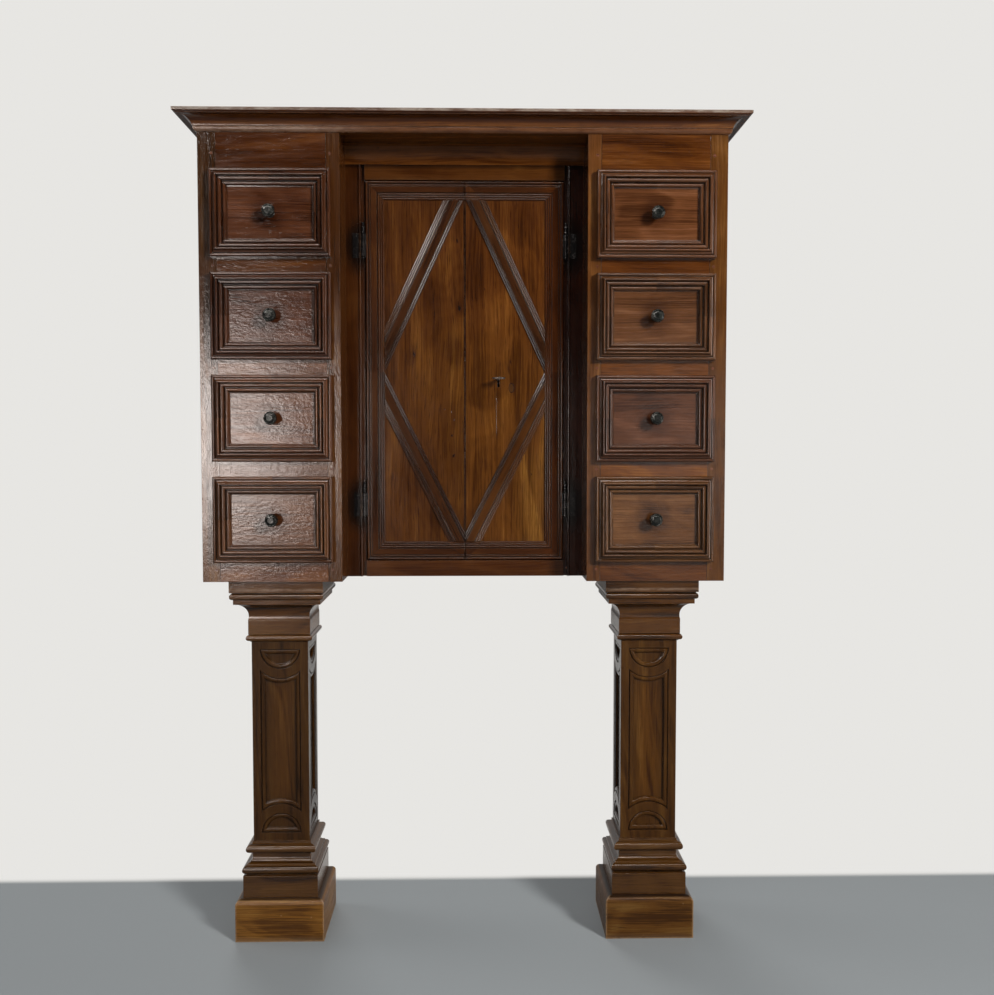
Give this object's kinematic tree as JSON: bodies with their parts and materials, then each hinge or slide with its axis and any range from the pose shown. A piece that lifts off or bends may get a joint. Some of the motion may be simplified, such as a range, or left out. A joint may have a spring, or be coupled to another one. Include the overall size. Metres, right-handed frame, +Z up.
{
  "type": "coin cabinet",
  "caption": "Tall wooden cabinet on two square pillars: drawer towers either side of a recessed two-door cupboard with lozenge mouldings, under one wide cornice.",
  "frame": {"origin": "middle of the underside of the whole, on the floor between the plinths", "axes": "+Z up along the height, +X to the viewer's right across the front, +Y away from the viewer into the depth; the doors and drawers face -Y"},
  "size_m": [1.416, 0.359, 2.1],
  "materials": {
    "walnut": "waxed, satin",
    "walnut_dark": "waxed, satin",
    "walnut_case": "waxed, satin",
    "walnut_foot": "worn wax",
    "door_wood": "waxed, satin",
    "inner_wood": "bare, aged",
    "forged_iron": "blackened",
    "patinated_bronze": "dark patina"
  },
  "bodies": {
    "cabinet": {"carcass_top": "walnut_dark", "centre_case": "inner_wood", "centre_front_frame": "walnut", "cornice": "walnut_dark", "cornice_board": "walnut_dark", "frame_pegs": "walnut_dark", "header_moulding": "walnut_dark", "hinge_frame_leaves": "forged_iron", "hinge_nails": "forged_iron", "left_base_moulding": "walnut_foot", "left_capital": "walnut", "left_drawer_runners": "inner_wood", "left_pillar_shaft": "walnut", "left_plinth": "walnut_foot", "left_tower_case": "walnut_case", "left_tower_front_frame": "walnut", "right_base_moulding": "walnut_foot", "right_capital": "walnut", "right_drawer_runners": "inner_wood", "right_pillar_shaft": "walnut", "right_plinth": "walnut_foot", "right_tower_case": "walnut_case", "right_tower_front_frame": "walnut", "shelves": "inner_wood"},
    "left_drawer_1": {"left_drawer_1_front": "walnut", "left_drawer_1_box": "inner_wood", "left_drawer_1_knob": "patinated_bronze"},
    "left_drawer_2": {"left_drawer_2_front": "walnut", "left_drawer_2_box": "inner_wood", "left_drawer_2_knob": "patinated_bronze"},
    "left_drawer_3": {"left_drawer_3_front": "walnut", "left_drawer_3_box": "inner_wood", "left_drawer_3_knob": "patinated_bronze"},
    "left_drawer_4": {"left_drawer_4_front": "walnut", "left_drawer_4_box": "inner_wood", "left_drawer_4_knob": "patinated_bronze"},
    "right_drawer_1": {"right_drawer_1_front": "walnut", "right_drawer_1_box": "inner_wood", "right_drawer_1_knob": "patinated_bronze"},
    "right_drawer_2": {"right_drawer_2_front": "walnut", "right_drawer_2_box": "inner_wood", "right_drawer_2_knob": "patinated_bronze"},
    "right_drawer_3": {"right_drawer_3_front": "walnut", "right_drawer_3_box": "inner_wood", "right_drawer_3_knob": "patinated_bronze"},
    "right_drawer_4": {"right_drawer_4_front": "walnut", "right_drawer_4_box": "inner_wood", "right_drawer_4_knob": "patinated_bronze"},
    "left_door": {"left_door_panel": "door_wood", "left_door_border": "walnut", "left_door_lozenge": "walnut", "left_door_hinge_leaves": "forged_iron", "bolt_keeper": "forged_iron"},
    "right_door": {"right_door_panel": "door_wood", "right_door_border": "walnut", "right_door_lozenge": "walnut", "right_door_hinge_leaves": "forged_iron", "lock_case": "forged_iron"},
    "key": {"key": "forged_iron"},
    "lock_bolt": {"lock_bolt": "forged_iron"}
  },
  "joints": [
    {"name": "left_drawer_1_slide", "type": "slide", "parent": "cabinet", "child": "left_drawer_1", "axis": [0, -1, 0], "range_m": [0, 0.205]},
    {"name": "left_drawer_2_slide", "type": "slide", "parent": "cabinet", "child": "left_drawer_2", "axis": [0, -1, 0], "range_m": [0, 0.205]},
    {"name": "left_drawer_3_slide", "type": "slide", "parent": "cabinet", "child": "left_drawer_3", "axis": [0, -1, 0], "range_m": [0, 0.205]},
    {"name": "left_drawer_4_slide", "type": "slide", "parent": "cabinet", "child": "left_drawer_4", "axis": [0, -1, 0], "range_m": [0, 0.205]},
    {"name": "right_drawer_1_slide", "type": "slide", "parent": "cabinet", "child": "right_drawer_1", "axis": [0, -1, 0], "range_m": [0, 0.205]},
    {"name": "right_drawer_2_slide", "type": "slide", "parent": "cabinet", "child": "right_drawer_2", "axis": [0, -1, 0], "range_m": [0, 0.205]},
    {"name": "right_drawer_3_slide", "type": "slide", "parent": "cabinet", "child": "right_drawer_3", "axis": [0, -1, 0], "range_m": [0, 0.205]},
    {"name": "right_drawer_4_slide", "type": "slide", "parent": "cabinet", "child": "right_drawer_4", "axis": [0, -1, 0], "range_m": [0, 0.205]},
    {"name": "left_door_hinge", "type": "hinge", "parent": "cabinet", "child": "left_door", "pos_m": [-0.2632, -0.0205, 0.9803], "axis": [0, 0, 1], "range_deg": [-95, 0]},
    {"name": "right_door_hinge", "type": "hinge", "parent": "cabinet", "child": "right_door", "pos_m": [0.2632, -0.0205, 0.9803], "axis": [0, 0, 1], "range_deg": [0, 95]},
    {"name": "key_turn", "type": "hinge", "parent": "right_door", "child": "key", "pos_m": [0.088, -0.0285, 1.45526], "axis": [0, 1, 0], "range_deg": [0, 180]},
    {"name": "bolt_throw", "type": "slide", "parent": "right_door", "child": "lock_bolt", "axis": [-1, 0, 0], "range_m": [0, 0.02]}
  ],
  "couplings": [
    {"joint": "key_turn", "follows": "bolt_throw", "rad_per_m": 157.08}
  ]
}
